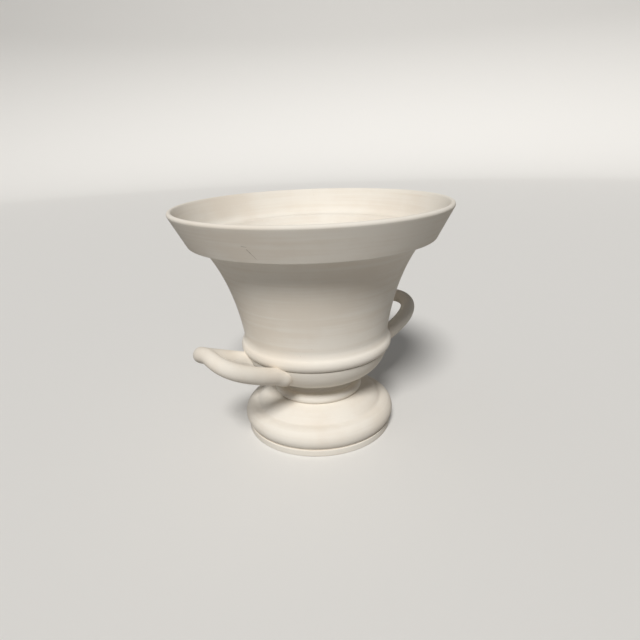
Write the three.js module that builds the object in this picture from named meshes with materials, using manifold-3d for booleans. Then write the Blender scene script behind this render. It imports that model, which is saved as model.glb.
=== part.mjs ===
// Two-handled trophy vase in unglazed white ceramic: a flared bowl with an overhanging rim band
// and a collar bead, a hollow pedestal foot, and a pair of upswept loop handles luted on below
// the bead. Millimetres, +Z up. The origin is the centre of the plane that the foot rests on,
// and the handles point along +X and -X.
import * as THREE from "three";
import { mergeVertices } from "three/addons/utils/BufferGeometryUtils.js";
import Module from "manifold-3d";

// Driving dimensions
const wall = 4.6; // cast wall of the bowl
const lutingGap = 0.3; // clearance between pieces that are luted together
const ringSides = 36; // facets round every turned form

// Rim band
const rimRadius = 120;
const rimHeight = 206.25; // centre of the rounded lip
const lipRadius = 2.15;
const bandFootRadius = 107; // lower outside corner of the band
const bandFootHeight = 179.7;
const bandCornerRadius = 1.2;
const ledgeFillet = 2.2; // cove where the body meets the underside of the band
const innerFillet = 5; // cove inside, between the band and its ledge

// Body, from the collar's throat up to the ledge
const throatRadius = 65.6;
const throatHeight = 95;
const bodyTopRadius = 96;
const bodyLowPull = 23; // how far the curve follows the upright throat
const bodyLowLean = 2.9;
const bodyTopPull = 31; // how far it follows the flare at the top
const bodyTopLean = 52; // flare of the top, in degrees above level

// Collar bead
const beadRadius = 6.6;
const beadCentreRadius = 62.4;
const beadCentreHeight = 84.6;
const beadTopAngle = 45; // where the cove above leaves the bead
const beadFootAngle = -75; // where the bead ends in its crease

// Lower bowl
const cupRadius = 31; // radius of the turned-in curve
const cupCentreRadius = 35;
const cupTopAngle = -11.5;
const cupFootAngle = -84;

// Pedestal foot
const jointHeight = 48; // where the bowl is luted to the foot
const neckRadius = 32.4;
const neckCove = 5.4; // rise of the cove from the neck to the bowl
const stemBeadRadius = 4.2;
const stemBeadCentreRadius = 36.8;
const stemBeadCentreHeight = 39.2;
const domeBulge = 3; // how far the dome swells above a straight cone
const stepRadius = 58.5;
const stepDrop = 0.8;
const torusRadius = 10.4; // rolled edge of the foot
const torusCentreRadius = 60;
const torusCentreHeight = 14.4;
const plinthRadius = 67.9;
const plinthHeight = 5.9;
const plinthEdge = 0.6; // softened edges of the plinth
const footWall = 5.2;
const restWidth = 6.4; // width of the ring that the foot stands on

// Handles, in the half plane from the axis outwards
const rodRadius = 7.35;
const rodSides = 12;
const rodSteps = 28;
const rootReach = 57.2; // from the vase axis to the root of each arm
const rootSpread = 23.4; // from the handle's middle plane to each root
const rootHeight = 71.8;
const armPull = { out: 60, side: 8, up: 21 }; // direction and strength in which an arm leaves
const tipReach = 112.2;
const tipHeight = 99.7;
const tipPull = 11; // half width of the rounded tip
const rootOverrun = 12; // rod sunk into the bowl before it is cut to the bowl's shape

// Plain bisque colours
const bisque = { color: 0xe9ddcb, roughness: 0.85, metalness: 0 };

const degrees = THREE.MathUtils.degToRad;
const point = (radius, height) => new THREE.Vector2(radius, height);

// Points of an arc in the profile plane, angles in degrees above level
function arc(centreRadius, centreHeight, radius, from, to, steps) {
  return Array.from({ length: steps + 1 }, (_, i) => {
    const angle = degrees(from + ((to - from) * i) / steps);
    return point(centreRadius + radius * Math.cos(angle), centreHeight + radius * Math.sin(angle));
  });
}

// Points of a cove or swell from start to end, drawn towards one corner
function bend(start, corner, end, steps) {
  return new THREE.QuadraticBezierCurve(start, corner, end).getPoints(steps);
}

// The same outline moved sideways: a positive distance moves it to the right of its direction
function offset(outline, distance) {
  return outline.map((here, i) => {
    const before = outline[Math.max(i - 1, 0)];
    const after = outline[Math.min(i + 1, outline.length - 1)];
    const along = after.clone().sub(before).normalize();
    return point(Math.max(here.x + along.y * distance, 0), here.y - along.x * distance);
  });
}

// One turned solid, from an outline that starts and ends on the axis
function turned(outline) {
  const tidy = outline.filter((here, i) => i === 0 || here.distanceTo(outline[i - 1]) > 1e-4);
  return new THREE.LatheGeometry(tidy, ringSides).rotateX(Math.PI / 2);
}

// Outside of the body: an upright throat that opens into a trumpet flare
function bodyCurve() {
  const lean = degrees(bodyTopLean);
  const top = point(bodyTopRadius, bandFootHeight - ledgeFillet / 2);
  return new THREE.CubicBezierCurve(
    point(throatRadius, throatHeight),
    point(throatRadius + bodyLowLean, throatHeight + bodyLowPull),
    point(top.x - bodyTopPull * Math.cos(lean), top.y - bodyTopPull * Math.sin(lean)),
    top,
  ).getPoints(11);
}

// Outside of the bowl below the band, from the joint with the foot upwards
function bowlOutside() {
  const cupHeight = beadCentreHeight - 0.4;
  const cup = arc(cupCentreRadius, cupHeight, cupRadius, cupFootAngle, cupTopAngle, 8);
  const bead = arc(beadCentreRadius, beadCentreHeight, beadRadius, beadFootAngle, beadTopAngle, 8);
  const body = bodyCurve();
  const cove = bend(bead.at(-1), point(throatRadius, bead.at(-1).y + 2), body[0], 3);
  const neck = bend(
    point(neckRadius, cup[0].y - neckCove + 1), point(neckRadius, cup[0].y - 0.4), cup[0], 3);
  return [point(neckRadius, jointHeight), ...neck, ...cup, ...bead, ...cove, ...body];
}

// Bowl: outside, ledge, band and lip, then the inside back down to the axis
function bowlGeometry() {
  const outside = bowlOutside();
  const body = bodyCurve();
  const slope = Math.atan2(rimHeight - bandFootHeight, rimRadius - bandFootRadius);
  const faceAngle = THREE.MathUtils.radToDeg(slope) - 90;
  const ledge = bend(
    body.at(-1), point(bodyTopRadius + ledgeFillet / 2, bandFootHeight),
    point(bodyTopRadius + ledgeFillet, bandFootHeight), 2);
  const corner = arc(
    bandFootRadius - bandCornerRadius, bandFootHeight + bandCornerRadius, bandCornerRadius,
    -90, faceAngle, 3);
  const lip = arc(rimRadius - lipRadius, rimHeight, lipRadius, faceAngle, faceAngle + 180, 8);
  const ledgeTop = bandFootHeight + wall;
  const bandThickness = wall / Math.sin(slope);
  const insideCorner = bandFootRadius + wall / Math.tan(slope) - bandThickness;
  const insideCove = bend(
    point(insideCorner + innerFillet / Math.tan(slope), ledgeTop + innerFillet),
    point(insideCorner, ledgeTop), point(insideCorner - innerFillet, ledgeTop), 4);
  const insideBody = offset(body, -wall).reverse();
  const shoulder = bend(
    point(insideBody[0].x + 4, ledgeTop), point(insideBody[0].x + 1.8, ledgeTop), insideBody[0], 3);
  const cupHeight = beadCentreHeight - 0.4;
  const insideCup = arc(cupCentreRadius, cupHeight, cupRadius - wall, 0, -90, 8);
  return turned([
    point(0, jointHeight), ...outside, ...ledge, ...corner, ...lip, ...insideCove, ...shoulder,
    ...insideBody, ...insideCup, point(0, insideCup.at(-1).y),
  ]);
}

// Foot: plinth, rolled edge, dome, stem bead and neck outside, and a hollow open underneath
function footGeometry() {
  const plinth = [
    point(plinthRadius - plinthEdge, 0), point(plinthRadius, plinthEdge),
    point(plinthRadius, plinthHeight - plinthEdge), point(plinthRadius - plinthEdge, plinthHeight),
  ];
  const torus = arc(torusCentreRadius, torusCentreHeight, torusRadius, -50, 98, 12);
  const stemBead = arc(
    stemBeadCentreRadius, stemBeadCentreHeight, stemBeadRadius, -60, 110, 8);
  const step = point(stepRadius - 0.2, torus.at(-1).y + stepDrop);
  const middle = step.clone().add(stemBead[0]).multiplyScalar(0.5);
  const swell = point(middle.x + domeBulge, middle.y + domeBulge);
  const dome = bend(step, swell, stemBead[0], 6);
  const top = jointHeight - lutingGap;
  const neck = bend(stemBead.at(-1), point(neckRadius, stemBead.at(-1).y + 1),
    point(neckRadius, top - 1), 3);
  const outside = [...plinth, ...torus, ...dome, ...stemBead, ...neck, point(neckRadius, top)];
  const hollowTop = top - footWall;
  const hollow = [
    point(0, hollowTop), point(neckRadius - footWall - 3, hollowTop),
    point(neckRadius - footWall, hollowTop - 3),
    point(stemBeadCentreRadius - footWall, stemBead[0].y - footWall),
    ...bend(point(stemBead[0].x, stemBead[0].y - footWall - 0.6),
      point(stepRadius - footWall, torusCentreHeight + footWall),
      point(torusCentreRadius - 1, torusCentreHeight - 4), 5),
    point(plinthRadius - plinthEdge - restWidth, plinthEdge),
    point(plinthRadius - restWidth, 0),
  ];
  return turned([...hollow, ...outside, point(0, top)]);
}

// Route of one handle, from root to root through the tip
function handleRoute() {
  const root = new THREE.Vector3(rootReach, rootSpread, rootHeight);
  const pull = new THREE.Vector3(armPull.out, armPull.side, armPull.up);
  const tip = new THREE.Vector3(tipReach, 0, tipHeight);
  const other = (p) => new THREE.Vector3(p.x, -p.y, p.z);
  const arm = root.clone().add(pull);
  const turn = tip.clone().setY(tipPull);
  const sunk = root.clone().addScaledVector(pull.clone().normalize(), -rootOverrun);
  const route = new THREE.CurvePath();
  route.add(new THREE.LineCurve3(sunk, root));
  route.add(new THREE.CubicBezierCurve3(root, arm, turn, tip));
  route.add(new THREE.CubicBezierCurve3(tip, other(turn), other(arm), other(root)));
  route.add(new THREE.LineCurve3(other(root), other(sunk)));
  return route;
}

const wasm = await Module();
wasm.setup();

// A closed geometry as a solid that can be joined and cut
function solid(geometry) {
  const bare = geometry.clone();
  bare.deleteAttribute("normal");
  bare.deleteAttribute("uv");
  const merged = mergeVertices(bare, 1e-4);
  const corners = Array.from(merged.index.array);
  const triVerts = [];
  for (let i = 0; i < corners.length; i += 3) {
    const [a, b, c] = corners.slice(i, i + 3);
    if (a !== b && b !== c && c !== a) triVerts.push(a, b, c);
  }
  return new wasm.Manifold(new wasm.Mesh({
    numProp: 3,
    vertProperties: new Float32Array(merged.attributes.position.array),
    triVerts: new Uint32Array(triVerts),
  }));
}

// A solid back as a geometry
function geometryOf(body) {
  const mesh = body.getMesh();
  const geometry = new THREE.BufferGeometry();
  geometry.setAttribute("position", new THREE.BufferAttribute(mesh.vertProperties, 3));
  geometry.setIndex(new THREE.BufferAttribute(mesh.triVerts, 1));
  geometry.computeVertexNormals();
  return geometry;
}

// Solid bowl grown by a gap, as the union of copies moved outwards, up and down
function bowlSkin(gap) {
  const copies = [-90, -45, 0, 45, 90].map((angle) => {
    const move = point(gap * Math.cos(degrees(angle)), gap * Math.sin(degrees(angle)));
    const skin = bowlOutside().map((here) => here.add(move));
    return solid(turned([point(0, skin[0].y), ...skin, point(0, skin.at(-1).y)]));
  });
  return copies.reduce((whole, copy) => whole.add(copy));
}

// Handle: a round rod along its route, its ends shaped to the bowl that they are luted to
function handleGeometry() {
  const section = new THREE.Shape().absarc(0, 0, rodRadius, 0, 2 * Math.PI);
  const rod = new THREE.ExtrudeGeometry(section, {
    steps: rodSteps, curveSegments: rodSides / 2, extrudePath: handleRoute(),
  });
  return geometryOf(solid(rod).subtract(bowlSkin(lutingGap)));
}

function piece(name, geometry) {
  const mesh = new THREE.Mesh(geometry, new THREE.MeshStandardMaterial(bisque));
  mesh.name = name;
  return mesh;
}

const vase = new THREE.Group();
vase.add(piece("bowl", bowlGeometry()));
vase.add(piece("pedestal_foot", footGeometry()));
const handle = handleGeometry();
vase.add(piece("handle_right", handle));
const left = piece("handle_left", handle);
left.rotation.z = Math.PI;
vase.add(left);

export default vase;
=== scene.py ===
# Trophy vase in white bisque: finish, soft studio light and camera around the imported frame.
from math import atan2, cos, degrees, exp, hypot, pi, radians, sin, tan

import bpy
from mathutils import Matrix, Vector


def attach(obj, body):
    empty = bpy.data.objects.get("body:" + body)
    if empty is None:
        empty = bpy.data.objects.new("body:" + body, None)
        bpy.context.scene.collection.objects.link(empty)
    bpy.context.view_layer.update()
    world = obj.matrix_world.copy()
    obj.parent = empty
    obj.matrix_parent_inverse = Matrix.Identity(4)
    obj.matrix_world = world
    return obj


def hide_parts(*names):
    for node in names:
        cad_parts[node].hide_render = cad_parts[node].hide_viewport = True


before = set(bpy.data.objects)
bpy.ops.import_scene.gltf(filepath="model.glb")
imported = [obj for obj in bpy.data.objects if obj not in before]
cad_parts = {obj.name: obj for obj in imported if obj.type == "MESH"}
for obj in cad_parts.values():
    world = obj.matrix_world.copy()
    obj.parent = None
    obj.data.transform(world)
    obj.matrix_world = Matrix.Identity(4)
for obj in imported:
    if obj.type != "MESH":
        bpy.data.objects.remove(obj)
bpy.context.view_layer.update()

mm = 0.001
bodyName = "root"
closePoints = 1e-4  # outline points nearer than this, in millimetres, are taken as one
axisReach = 1e-6  # a point nearer to the axis than this is on it
roundUp = 0.999


# Outlines, in millimetres: (radius, height) pairs
def arc(centre, radius, start, end, steps):
    turns = [radians(start + (end - start) * i / steps) for i in range(steps + 1)]
    return [(centre[0] + radius * cos(a), centre[1] + radius * sin(a)) for a in turns]


def bend(start, corner, end, steps):
    out = []
    for i in range(steps + 1):
        t = i / steps
        out.append(tuple((1 - t) ** 2 * a + 2 * t * (1 - t) * b + t * t * c
                         for a, b, c in zip(start, corner, end)))
    return out


def bezier(a, b, c, d, steps):
    out = []
    for i in range(steps + 1):
        t = i / steps
        s = 1 - t
        out.append(tuple(s ** 3 * p + 3 * s * s * t * q + 3 * s * t * t * u + t ** 3 * v
                         for p, q, u, v in zip(a, b, c, d)))
    return out


def offset(outline, distance):
    out = []
    for i, (r, z) in enumerate(outline):
        before = outline[max(i - 1, 0)]
        after = outline[min(i + 1, len(outline) - 1)]
        dr, dz = after[0] - before[0], after[1] - before[1]
        length = hypot(dr, dz)
        out.append((max(r + dz / length * distance, 0), z - dr / length * distance))
    return out


def refine(outline, longest):  # short, even steps so that the turned surface shades smoothly
    out = [outline[0]]
    for a, b in zip(outline, outline[1:]):
        gap = hypot(b[0] - a[0], b[1] - a[1])
        if gap < closePoints:
            continue
        count = max(1, int(gap / longest + roundUp))
        out += [(a[0] + (b[0] - a[0]) * i / count, a[1] + (b[1] - a[1]) * i / count)
                for i in range(1, count + 1)]
    return out


def soften(outline, inner, outer, above, passes):  # rounds creases the way a wet sponge does
    out = refine(outline, 1)
    for _ in range(passes):
        soft = list(out)
        for i in range(1, len(out) - 1):
            r, z = out[i]
            if inner < r < outer and z > above:
                soft[i] = tuple((a + 2 * b + c) / 4 for a, b, c in zip(out[i - 1], out[i], out[i + 1]))
        out = soft
    return out


def makeMesh(name, verts, faces, creaseAngle=38):
    mesh = bpy.data.meshes.new(name)
    mesh.from_pydata(verts, [], faces)
    mesh.validate()
    mesh.polygons.foreach_set("use_smooth", [True] * len(mesh.polygons))
    mesh.set_sharp_from_angle(angle=radians(creaseAngle))
    piece = bpy.data.objects.new(name, mesh)
    bpy.context.scene.collection.objects.link(piece)
    return piece


def turnedPiece(name, outline, sides, longest):
    rings = refine(outline, longest)
    verts, rows = [], []
    for r, z in rings:
        count = 1 if r < axisReach else sides
        rows.append((len(verts), count))
        for i in range(count):
            a = 2 * pi * i / sides
            verts.append((r * cos(a) * mm, r * sin(a) * mm, z * mm))
    faces = []
    for (a, countA), (b, countB) in zip(rows, rows[1:]):
        for i in range(sides):
            j = (i + 1) % sides
            if countA == 1:
                faces.append((a, b + j, b + i))
            elif countB == 1:
                faces.append((a + i, a + j, b))
            else:
                faces.append((a + i, a + j, b + j, b + i))
    return makeMesh(name, verts, faces)


# Bowl
bowl = {
    "wall": 4.6,
    "rim": 120, "rimHeight": 206.25, "lip": 2.15,
    "bandFoot": 107, "bandFootHeight": 179.7, "bandCorner": 1.2,
    "ledgeFillet": 2.2, "innerFillet": 5, "shoulderReach": 4, "shoulderEase": 1.8,
    "throat": 65.6, "throatHeight": 95, "bodyTop": 96,
    "lowPull": 23, "lowLean": 2.9, "topPull": 31, "topLean": 52,
    "bead": 6.6, "beadCentre": (62.4, 84.6), "beadTopAngle": 45, "beadFootAngle": -75, "beadCove": 2,
    "cup": 31, "cupCentre": (35, 84.2), "cupTopAngle": -11.5, "cupFootAngle": -84,
    "joint": 48, "neck": 32.4, "neckCove": 5.4, "neckRise": 1, "neckEase": 0.4,
    "sides": 220, "longest": 2.2,
}
bowlSteps = {  # how finely each stretch of the bowl's outline is drawn
    "body": 48, "cup": 32, "bead": 28, "beadCove": 10, "neck": 8,
    "ledge": 6, "corner": 8, "lip": 18, "innerCove": 12, "shoulder": 8, "insideCup": 28,
}


def bodyCurve():
    b = bowl
    lean = radians(b["topLean"])
    top = (b["bodyTop"], b["bandFootHeight"] - b["ledgeFillet"] / 2)
    return bezier(
        (b["throat"], b["throatHeight"]),
        (b["throat"] + b["lowLean"], b["throatHeight"] + b["lowPull"]),
        (top[0] - b["topPull"] * cos(lean), top[1] - b["topPull"] * sin(lean)),
        top, bowlSteps["body"])


def bowlOutside():
    b, steps = bowl, bowlSteps
    cup = arc(b["cupCentre"], b["cup"], b["cupFootAngle"], b["cupTopAngle"], steps["cup"])
    bead = arc(b["beadCentre"], b["bead"], b["beadFootAngle"], b["beadTopAngle"], steps["bead"])
    body = bodyCurve()
    cove = bend(bead[-1], (b["throat"], bead[-1][1] + b["beadCove"]), body[0], steps["beadCove"])
    neck = bend((b["neck"], cup[0][1] - b["neckCove"] + b["neckRise"]),
                (b["neck"], cup[0][1] - b["neckEase"]), cup[0], steps["neck"])
    return [(b["neck"], b["joint"])] + neck + cup + bead + cove + body


def makeBowl():
    b, steps = bowl, bowlSteps
    body = bodyCurve()
    slope = atan2(b["rimHeight"] - b["bandFootHeight"], b["rim"] - b["bandFoot"])
    faceAngle = degrees(slope) - 90
    underBand = b["bandFootHeight"]
    ledge = bend(body[-1], (b["bodyTop"] + b["ledgeFillet"] / 2, underBand),
                 (b["bodyTop"] + b["ledgeFillet"], underBand), steps["ledge"])
    corner = arc((b["bandFoot"] - b["bandCorner"], underBand + b["bandCorner"]), b["bandCorner"],
                 -90, faceAngle, steps["corner"])
    lip = arc((b["rim"] - b["lip"], b["rimHeight"]), b["lip"],
              faceAngle, faceAngle + 180, steps["lip"])
    ledgeTop = underBand + b["wall"]
    inner = b["bandFoot"] + b["wall"] / tan(slope) - b["wall"] / sin(slope)
    cove = bend((inner + b["innerFillet"] / tan(slope), ledgeTop + b["innerFillet"]),
                (inner, ledgeTop), (inner - b["innerFillet"], ledgeTop), steps["innerCove"])
    insideBody = offset(body, -b["wall"])[::-1]
    start = insideBody[0]
    shoulder = bend((start[0] + b["shoulderReach"], ledgeTop), (start[0] + b["shoulderEase"], ledgeTop),
                    start, steps["shoulder"])
    insideCup = arc(b["cupCentre"], b["cup"] - b["wall"], 0, -90, steps["insideCup"])
    outline = ([(0, b["joint"])] + bowlOutside() + ledge + corner + lip + cove + shoulder
               + insideBody + insideCup + [(0, insideCup[-1][1])])
    return turnedPiece("bowlShell", outline, b["sides"], b["longest"])


# Foot
foot = {
    "gap": 0.3, "wall": 5.2, "restWidth": 6.4,
    "stemBead": 4.2, "stemBeadCentre": (36.8, 39.2), "stemBeadFootAngle": -60, "stemBeadTopAngle": 110,
    "stemEase": 1,
    "domeBulge": 3, "step": 58.5, "stepInset": 0.2, "stepDrop": 0.8,
    "torus": 10.4, "torusCentre": (60, 14.4), "torusFootAngle": -50, "torusTopAngle": 98,
    "plinth": 67.9, "plinthHeight": 5.9, "plinthEdge": 0.6,
    "hollowFillet": 3, "hollowEase": 0.6, "hollowInset": 1, "hollowDrop": 4,
    "softFrom": 44, "softTo": 66, "softAbove": 18, "softness": 8,
    "sides": 200, "longest": 2.2,
}
footSteps = {  # how finely each stretch of the foot's outline is drawn
    "edge": 4, "torus": 36, "stemBead": 22, "dome": 20, "cove": 8, "hollowFillet": 4, "hollow": 14,
}


def footHollow(neck, top, bead):
    f, steps = foot, footSteps
    hollowTop = top - f["wall"]
    inside = neck - f["wall"]
    hollow = [(0, hollowTop)] + bend(
        (inside - f["hollowFillet"], hollowTop), (inside, hollowTop),
        (inside, hollowTop - f["hollowFillet"]), steps["hollowFillet"])
    hollow += [(f["stemBeadCentre"][0] - f["wall"], bead[0][1] - f["wall"])]
    hollow += bend((bead[0][0], bead[0][1] - f["wall"] - f["hollowEase"]),
                   (f["step"] - f["wall"], f["torusCentre"][1] + f["wall"]),
                   (f["torusCentre"][0] - f["hollowInset"], f["torusCentre"][1] - f["hollowDrop"]),
                   steps["hollow"])
    return hollow + [(f["plinth"] - f["plinthEdge"] - f["restWidth"], f["plinthEdge"]),
                     (f["plinth"] - f["restWidth"], 0)]


def makeFoot():
    f, steps = foot, footSteps
    neck = bowl["neck"]
    top = bowl["joint"] - f["gap"]
    edge = f["plinthEdge"]
    plinth = (arc((f["plinth"] - edge, edge), edge, -90, 0, steps["edge"])
              + arc((f["plinth"] - edge, f["plinthHeight"] - edge), edge, 0, 90, steps["edge"]))
    torus = arc(f["torusCentre"], f["torus"], f["torusFootAngle"], f["torusTopAngle"], steps["torus"])
    bead = arc(f["stemBeadCentre"], f["stemBead"], f["stemBeadFootAngle"], f["stemBeadTopAngle"],
               steps["stemBead"])
    step = (f["step"] - f["stepInset"], torus[-1][1] + f["stepDrop"])
    middle = ((step[0] + bead[0][0]) / 2, (step[1] + bead[0][1]) / 2)
    dome = bend(step, (middle[0] + f["domeBulge"], middle[1] + f["domeBulge"]), bead[0], steps["dome"])
    cove = bend(bead[-1], (neck, bead[-1][1] + f["stemEase"]), (neck, top - f["stemEase"]), steps["cove"])
    skin = soften(torus + dome + bead + cove, f["softFrom"], f["softTo"], f["softAbove"], f["softness"])
    outline = footHollow(neck, top, bead) + plinth + skin + [(neck, top), (0, top)]
    return turnedPiece("footShell", outline, f["sides"], f["longest"])


# Handles: a round rod, thickened with slip where it meets the bowl and a little thinner at its turn
handle = {
    "rod": 7.3, "sides": 40, "steps": 90,
    "root": (57.2, 23.4, 71.8), "pull": (60, 8, 21),
    "tip": (112.2, 0, 99.7), "tipPull": 11,
    "sunk": 2.5, "slip": 1.5, "slipLength": 5, "tipThin": 0.9, "tipLength": 24,
}


def handleRoute():
    h = handle
    root, pull, tip = Vector(h["root"]), Vector(h["pull"]), Vector(h["tip"])
    arm = root + pull
    turn = tip + Vector((0, h["tipPull"], 0))
    half = [Vector(p) for p in bezier(root, arm, turn, tip, h["steps"])]
    half = [root - pull.normalized() * h["sunk"]] + half
    other = [Vector((p.x, -p.y, p.z)) for p in half[-2::-1]]
    return half + other


def makeHandle(name, side):
    h = handle
    route = handleRoute()
    travelled = [0]
    for a, b in zip(route, route[1:]):
        travelled.append(travelled[-1] + (b - a).length)
    total = travelled[-1]
    up = Vector((0, 0, 1))
    verts, faces = [], []
    sides = h["sides"]
    for i, centre in enumerate(route):
        along = (route[min(i + 1, len(route) - 1)] - route[max(i - 1, 0)]).normalized()
        across = along.cross(up).normalized()
        upright = across.cross(along)
        fromRoot = max(min(travelled[i], total - travelled[i]) - h["sunk"], 0)
        fromTip = abs(travelled[i] - total / 2)
        radius = h["rod"] + h["slip"] * exp(-(fromRoot / h["slipLength"]) ** 2)
        radius -= h["tipThin"] * exp(-(fromTip / h["tipLength"]) ** 2)
        for k in range(sides):
            a = 2 * pi * k / sides
            p = centre + (across * cos(a) + upright * sin(a)) * radius
            verts.append((p.x * side * mm, p.y * side * mm, p.z * mm))
    for i in range(len(route) - 1):
        for k in range(sides):
            m = (k + 1) % sides
            a, b = i * sides, (i + 1) * sides
            faces.append((a + k, a + m, b + m, b + k))
    faces.append(tuple(range(sides))[::-1])
    faces.append(tuple(range(len(verts) - sides, len(verts))))
    return makeMesh(name, verts, faces)


# Shared effects, as node groups
def newGroup(name, inputs, outputs):
    group = bpy.data.node_groups.new(name, "ShaderNodeTree")
    for label, kind, value in inputs:
        socket = group.interface.new_socket(label, in_out="INPUT", socket_type=kind)
        socket.default_value = value
    for label, kind in outputs:
        group.interface.new_socket(label, in_out="OUTPUT", socket_type=kind)
    source = group.nodes.new("NodeGroupInput")
    sink = group.nodes.new("NodeGroupOutput")
    return group, source, sink


def addNode(tree, kind, inputs=None, **settings):
    node = tree.nodes.new(kind)
    for key, value in settings.items():
        setattr(node, key, value)
    for key, value in (inputs or {}).items():
        if isinstance(value, bpy.types.NodeSocket):
            tree.links.new(value, node.inputs[key])
        else:
            node.inputs[key].default_value = value
    return node


def mapRange(tree, value, low, high, toLow=0.0, toHigh=1.0):
    node = addNode(tree, "ShaderNodeMapRange",
                   {0: value, 1: low, 2: high, 3: toLow, 4: toHigh}, interpolation_type="SMOOTHSTEP")
    return node.outputs[0]


def mathNode(tree, operation, a, b=0.0):
    return addNode(tree, "ShaderNodeMath", {0: a, 1: b}, operation=operation).outputs[0]


def mixColour(tree, factor, a, b):
    return addNode(tree, "ShaderNodeMix", {0: factor, 6: a, 7: b}, data_type="RGBA").outputs[2]


def noise(tree, place, scale, **detail):
    return addNode(tree, "ShaderNodeTexNoise", {"Vector": place, "Scale": scale, **detail}).outputs[0]


clay = {
    "cloudRange": (0.35, 0.68), "ringStretch": (9, 9, 320), "ringMiddle": 0.5,
    "pinScale": 210, "pinEdge": (0.1, 0.04), "rareScale": 60, "rareRange": (0.58, 0.7),
    "pinStrength": 0.35, "pinColour": (0.45, 0.35, 0.25, 1),
    "grainRange": (0.3, 0.7), "roughness": (0.74, 0.9),
    "cloudHeight": 0.5, "grainHeight": 0.22, "pinDepth": 0.4,
}


def makeClayTone():  # clouded colour, grain, pin holes and faint sponging rings of the fired clay
    group, source, sink = newGroup(
        "clayTone",
        [("Pale", "NodeSocketColor", (1, 1, 1, 1)), ("Warm", "NodeSocketColor", (1, 1, 1, 1)),
         ("Clouds", "NodeSocketFloat", 14), ("Grain", "NodeSocketFloat", 900),
         ("Rings", "NodeSocketFloat", 0.5)],
        [("Colour", "NodeSocketColor"), ("Roughness", "NodeSocketFloat"), ("Height", "NodeSocketFloat")])
    place = addNode(group, "ShaderNodeTexCoord").outputs["Object"]
    stretched = addNode(group, "ShaderNodeMapping", {"Vector": place, "Scale": clay["ringStretch"]})
    clouds = noise(group, place, source.outputs["Clouds"], Detail=4, Roughness=0.55)
    rings = noise(group, stretched.outputs[0], 1, Detail=3)
    grain = noise(group, place, source.outputs["Grain"], Detail=3, Roughness=0.6)
    rare = noise(group, place, clay["rareScale"], Detail=1)
    pins = addNode(group, "ShaderNodeTexVoronoi", {"Vector": place, "Scale": clay["pinScale"]})

    ringTone = mathNode(group, "MULTIPLY", mathNode(group, "SUBTRACT", rings, clay["ringMiddle"]),
                        source.outputs["Rings"])
    cloudMask = mapRange(group, mathNode(group, "ADD", clouds, ringTone), *clay["cloudRange"])
    base = mixColour(group, cloudMask, source.outputs["Pale"], source.outputs["Warm"])
    pinMask = mathNode(group, "MULTIPLY", mapRange(group, pins.outputs["Distance"], *clay["pinEdge"]),
                       mapRange(group, rare, *clay["rareRange"]))
    pinTone = mathNode(group, "MULTIPLY", pinMask, clay["pinStrength"])
    group.links.new(mixColour(group, pinTone, base, clay["pinColour"]), sink.inputs["Colour"])

    rough = mapRange(group, grain, *clay["grainRange"], *clay["roughness"])
    group.links.new(rough, sink.inputs["Roughness"])

    height = mathNode(group, "MULTIPLY", clouds, clay["cloudHeight"])
    height = mathNode(group, "ADD", height, mathNode(group, "MULTIPLY", rings, source.outputs["Rings"]))
    height = mathNode(group, "ADD", height, mathNode(group, "MULTIPLY", grain, clay["grainHeight"]))
    height = mathNode(group, "SUBTRACT", height, mathNode(group, "MULTIPLY", pinMask, clay["pinDepth"]))
    group.links.new(height, sink.inputs["Height"])
    return group


hairline = {"waverScale": 420, "waver": 0.0004, "fade": (1.2, 0.6)}


def makeHairline():  # a thin scratch between two points, as a mask
    group, source, sink = newGroup(
        "hairline",
        [("From", "NodeSocketVector", (0, 0, 0)), ("To", "NodeSocketVector", (0, 0, 0)),
         ("Width", "NodeSocketFloat", 0.0005)],
        [("Mask", "NodeSocketFloat")])
    place = addNode(group, "ShaderNodeTexCoord").outputs["Object"]

    def vector(operation, a, b, out=0):
        return addNode(group, "ShaderNodeVectorMath", {0: a, 1: b}, operation=operation).outputs[out]

    reach = vector("SUBTRACT", place, source.outputs["From"])
    span = vector("SUBTRACT", source.outputs["To"], source.outputs["From"])
    share = mathNode(group, "DIVIDE", vector("DOT_PRODUCT", reach, span, "Value"),
                     vector("DOT_PRODUCT", span, span, "Value"))
    share = addNode(group, "ShaderNodeClamp", {"Value": share}).outputs[0]
    nearest = addNode(group, "ShaderNodeVectorMath", {0: span, "Scale": share}, operation="SCALE")
    away = vector("DISTANCE", reach, nearest.outputs[0], "Value")
    waver = mathNode(group, "MULTIPLY", noise(group, place, hairline["waverScale"], Detail=2),
                     hairline["waver"])
    ratio = mathNode(group, "DIVIDE", mathNode(group, "ADD", away, waver), source.outputs["Width"])
    group.links.new(mapRange(group, ratio, *hairline["fade"]), sink.inputs["Mask"])
    return group


rubAndCreaseShade = {
    "proud": (0.505, 0.56), "sunk": (0.495, 0.44),
    # the rubbed colour is wear on proud edges; the crease colour is painted shade for the creases
    "rubbed": (0.93, 0.88, 0.79, 1), "creaseShade": (0.5, 0.4, 0.29, 1),
}


def makeRubAndCreaseShade():  # lighter where edges are rubbed (wear); darker in the creases, which is painted shade
    group, source, sink = newGroup(
        "rubAndCreaseShade",
        [("Colour", "NodeSocketColor", (1, 1, 1, 1)), ("Amount", "NodeSocketFloat", 0.5)],
        [("Colour", "NodeSocketColor")])
    bent = addNode(group, "ShaderNodeNewGeometry").outputs["Pointiness"]
    amount = source.outputs["Amount"]
    proud = mathNode(group, "MULTIPLY", mapRange(group, bent, *rubAndCreaseShade["proud"]), amount)
    # painted shade: the creases are darkened where shade falls in them
    sunk = mathNode(group, "MULTIPLY", mapRange(group, bent, *rubAndCreaseShade["sunk"]), amount)
    light = mixColour(group, proud, source.outputs["Colour"], rubAndCreaseShade["rubbed"])
    group.links.new(mixColour(group, sunk, light, rubAndCreaseShade["creaseShade"]), sink.inputs["Colour"])
    return group


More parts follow.
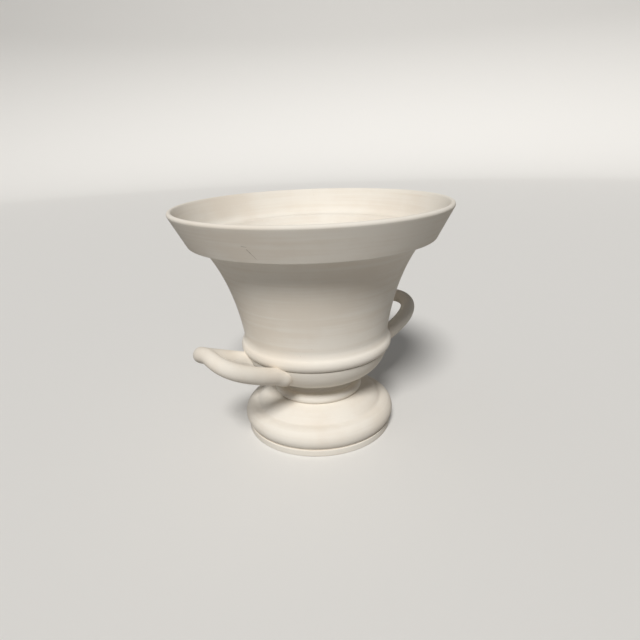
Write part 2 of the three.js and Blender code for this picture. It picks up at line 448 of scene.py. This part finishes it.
finish = {
    "pale": (0.87, 0.825, 0.75, 1), "warm": (0.82, 0.755, 0.665, 1), "scratch": (0.36, 0.3, 0.25, 1),
    "rubAndShade": 0.35, "specular": 0.3, "bump": 0.35, "bumpDepth": 0.0004,
    "bowlClouds": 14, "footClouds": 20, "handleClouds": 26,
    "turnedRings": 0.5, "handleRings": 0,
}
# Marks on the bowl: from, to and half width in metres, and strength
marks = [
    ((-0.10006, -0.05111, 0.19064), (-0.09404, -0.05396, 0.18262), 0.00055, 0.8),  # scratch on the band
    ((-0.10256, -0.04869, 0.19305), (-0.10068, -0.05187, 0.19249), 0.0005, 0.5),  # fainter one above it
    ((0.0646, 0.1014, 0.2068), (0.0666, 0.1002, 0.2069), 0.0011, 0.5),  # tiny chip on the far rim
]


def makeBisque(name, groups, clouds, rings, ownMarks=()):
    material = bpy.data.materials.new(name)
    material.use_nodes = True
    tree = material.node_tree
    shader = tree.nodes["Principled BSDF"]
    tone = addNode(tree, "ShaderNodeGroup", node_tree=groups["clay"])
    tone.inputs["Pale"].default_value = finish["pale"]
    tone.inputs["Warm"].default_value = finish["warm"]
    tone.inputs["Clouds"].default_value = clouds
    tone.inputs["Rings"].default_value = rings
    # edges lighter from wear, creases darkened by painted shade
    wornAndShaded = addNode(tree, "ShaderNodeGroup", node_tree=groups["rubAndShade"])
    wornAndShaded.inputs["Amount"].default_value = finish["rubAndShade"]
    tree.links.new(tone.outputs["Colour"], wornAndShaded.inputs["Colour"])
    colour, height = wornAndShaded.outputs["Colour"], tone.outputs["Height"]
    for start, end, width, strength in ownMarks:
        line = addNode(tree, "ShaderNodeGroup", node_tree=groups["line"])
        line.inputs["From"].default_value = start
        line.inputs["To"].default_value = end
        line.inputs["Width"].default_value = width
        mask = mathNode(tree, "MULTIPLY", line.outputs["Mask"], strength)
        colour = mixColour(tree, mask, colour, finish["scratch"])
        height = mathNode(tree, "SUBTRACT", height, mask)
    tree.links.new(colour, shader.inputs["Base Color"])
    tree.links.new(tone.outputs["Roughness"], shader.inputs["Roughness"])
    shader.inputs["Specular IOR Level"].default_value = finish["specular"]
    bump = addNode(tree, "ShaderNodeBump",
                   {"Strength": finish["bump"], "Distance": finish["bumpDepth"], "Height": height})
    tree.links.new(bump.outputs[0], shader.inputs["Normal"])
    return material


def dress(piece, material, node):
    piece.data.materials.append(material)
    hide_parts(node)
    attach(piece, bodyName)


# Floor, light and camera
studio = {
    "floor": (0.82, 0.81, 0.79, 1), "floorBounce": (0.4, 0.39, 0.375, 1), "floorRoughness": 0.9,
    "floorRadius": 3500, "coveRadius": 900, "coveHeight": 1600, "coveSteps": 24,
    "floorSides": 120, "floorLongest": 200,
    "world": (0.96, 0.98, 1, 1), "worldStrength": 0.1,
    "key": {"spread": 15, "energy": 2.7, "from": (-0.52, -0.45, 0.76), "colour": (1, 0.985, 0.96)},
    "fill": {"spread": 90, "energy": 0.25, "from": (-0.5, 0.3, 1), "colour": (1, 0.98, 0.95)},
}
view = {  # where the photograph was taken from, in metres, and how the camera was held
    "at": (-0.28392, -0.34565, 0.26163), "forward": (0.60378, 0.72218, -0.33748),
    "right": (0.75828, -0.65092, -0.03629), "nearest": 0.01,
    "frame": 640, "focalPixels": 514.6, "sensor": 36,
}


def makeFloor():  # a pale floor that curves up all round, so that no horizon shows
    flat = studio["floorRadius"] - studio["coveRadius"]
    cove = arc((flat, studio["coveRadius"]), studio["coveRadius"], -90, 0, studio["coveSteps"])
    outline = [(0, 0)] + cove + [(studio["floorRadius"], studio["coveHeight"])]
    floor = turnedPiece("studioFloor", outline, studio["floorSides"], studio["floorLongest"])
    material = bpy.data.materials.new("paleFloor")
    material.use_nodes = True
    tree = material.node_tree
    shader = tree.nodes["Principled BSDF"]
    seen = addNode(tree, "ShaderNodeLightPath").outputs["Is Camera Ray"]
    shade = mixColour(tree, seen, studio["floorBounce"], studio["floor"])
    tree.links.new(shade, shader.inputs["Base Color"])
    shader.inputs["Roughness"].default_value = studio["floorRoughness"]
    floor.data.materials.append(material)


def makeLamp(name, lamp):
    light = bpy.data.lights.new(name, "SUN")
    light.angle = radians(lamp["spread"])
    light.energy = lamp["energy"]
    light.color = lamp["colour"]
    holder = bpy.data.objects.new(name, light)
    holder.location = lamp["from"]
    holder.rotation_euler = (-Vector(lamp["from"])).to_track_quat("-Z", "Y").to_euler()
    bpy.context.scene.collection.objects.link(holder)


def makeWorld():
    world = bpy.data.worlds.new("studio")
    bpy.context.scene.world = world
    world.use_nodes = True
    background = world.node_tree.nodes["Background"]
    background.inputs["Color"].default_value = studio["world"]
    background.inputs["Strength"].default_value = studio["worldStrength"]


def makeCamera():
    data = bpy.data.cameras.new("photoView")
    data.sensor_fit = "HORIZONTAL"
    data.sensor_width = view["sensor"]
    data.lens = view["sensor"] * view["focalPixels"] / view["frame"]
    data.clip_start = view["nearest"]
    camera = bpy.data.objects.new("photoView", data)
    forward, right = Vector(view["forward"]).normalized(), Vector(view["right"])
    right = (right - forward * right.dot(forward)).normalized()
    up = right.cross(forward)
    turn = Matrix((right, up, -forward)).transposed()
    camera.matrix_world = Matrix.Translation(view["at"]) @ turn.to_4x4()
    bpy.context.scene.collection.objects.link(camera)
    bpy.context.scene.camera = camera


makeCamera()
makeWorld()
makeFloor()
makeLamp("softKey", studio["key"])
makeLamp("softFill", studio["fill"])
bpy.context.scene.view_settings.view_transform = "Standard"
print("studio ready")

groups = {"clay": makeClayTone(), "line": makeHairline(), "rubAndShade": makeRubAndCreaseShade()}
bowlBisque = makeBisque("bowlBisque", groups, finish["bowlClouds"], finish["turnedRings"], marks)
dress(makeBowl(), bowlBisque, "bowl")
print("bowl turned")
footBisque = makeBisque("footBisque", groups, finish["footClouds"], finish["turnedRings"])
dress(makeFoot(), footBisque, "pedestal_foot")
print("foot turned")
handleBisque = makeBisque("handleBisque", groups, finish["handleClouds"], finish["handleRings"])
dress(makeHandle("handleRodRight", 1), handleBisque, "handle_right")
dress(makeHandle("handleRodLeft", -1), handleBisque, "handle_left")
print("handles luted on")
